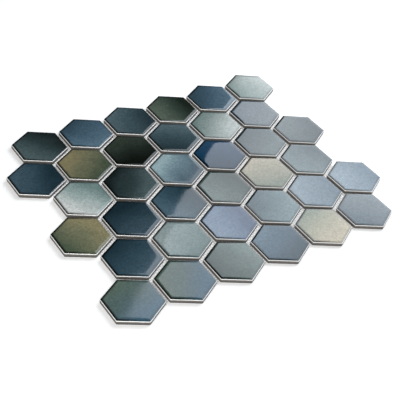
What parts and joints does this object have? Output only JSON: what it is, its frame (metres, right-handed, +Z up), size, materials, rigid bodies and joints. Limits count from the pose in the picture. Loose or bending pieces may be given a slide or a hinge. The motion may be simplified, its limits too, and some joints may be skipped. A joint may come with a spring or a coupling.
{
  "type": "hexagon mosaic tile sheet",
  "caption": "Sheet of glossy hexagonal ceramic tiles in staggered rows, glued at even joints to a net, bedded in one piece to cover a floor or wall.",
  "frame": {"origin": "middle of the sheet, on the underside of the net", "axes": "+X along the rows, +Y across the rows towards row 1, +Z up out of the glazed faces"},
  "size_m": [0.3484, 0.2924, 0.0052],
  "materials": {
    "glaze_ink": "glossy variegated glaze, thin and pale at the rolled edge",
    "glaze_bottle": "glossy variegated glaze, thin and pale at the rolled edge",
    "glaze_slate": "glossy variegated glaze, thin and pale at the rolled edge",
    "glaze_sage": "glossy variegated glaze, thin and pale at the rolled edge",
    "glaze_sky": "glossy variegated glaze, thin and pale at the rolled edge",
    "glaze_celadon": "glossy variegated glaze, thin and pale at the rolled edge",
    "glaze_olive": "glossy variegated glaze, thin and pale at the rolled edge",
    "glaze_sand": "glossy variegated glaze, thin and pale at the rolled edge",
    "net": "white coated glass-fibre strands with glue"
  },
  "bodies": {
    "root": {"net_long_strands": "net", "net_cross_strands": "net", "hex_tile_r1_c1": "glaze_bottle", "hex_tile_r1_c2": "glaze_slate", "hex_tile_r1_c3": "glaze_ink", "hex_tile_r1_c4": "glaze_bottle", "hex_tile_r1_c5": "glaze_slate", "hex_tile_r1_c6": "glaze_celadon", "hex_tile_r2_c1": "glaze_ink", "hex_tile_r2_c2": "glaze_olive", "hex_tile_r2_c3": "glaze_bottle", "hex_tile_r2_c4": "glaze_ink", "hex_tile_r2_c5": "glaze_celadon", "hex_tile_r2_c6": "glaze_slate", "hex_tile_r3_c1": "glaze_celadon", "hex_tile_r3_c2": "glaze_bottle", "hex_tile_r3_c3": "glaze_sky", "hex_tile_r3_c4": "glaze_slate", "hex_tile_r3_c5": "glaze_sage", "hex_tile_r3_c6": "glaze_sage", "hex_tile_r4_c1": "glaze_olive", "hex_tile_r4_c2": "glaze_ink", "hex_tile_r4_c3": "glaze_ink", "hex_tile_r4_c4": "glaze_sage", "hex_tile_r4_c5": "glaze_sand", "hex_tile_r4_c6": "glaze_sage", "hex_tile_r5_c1": "glaze_ink", "hex_tile_r5_c2": "glaze_celadon", "hex_tile_r5_c3": "glaze_sky", "hex_tile_r5_c4": "glaze_sage", "hex_tile_r5_c5": "glaze_sky", "hex_tile_r5_c6": "glaze_sky", "hex_tile_r6_c1": "glaze_sage", "hex_tile_r6_c2": "glaze_sage", "hex_tile_r6_c3": "glaze_sage", "hex_tile_r6_c4": "glaze_slate", "hex_tile_r6_c5": "glaze_sand", "hex_tile_r6_c6": "glaze_slate"}
  },
  "joints": []
}
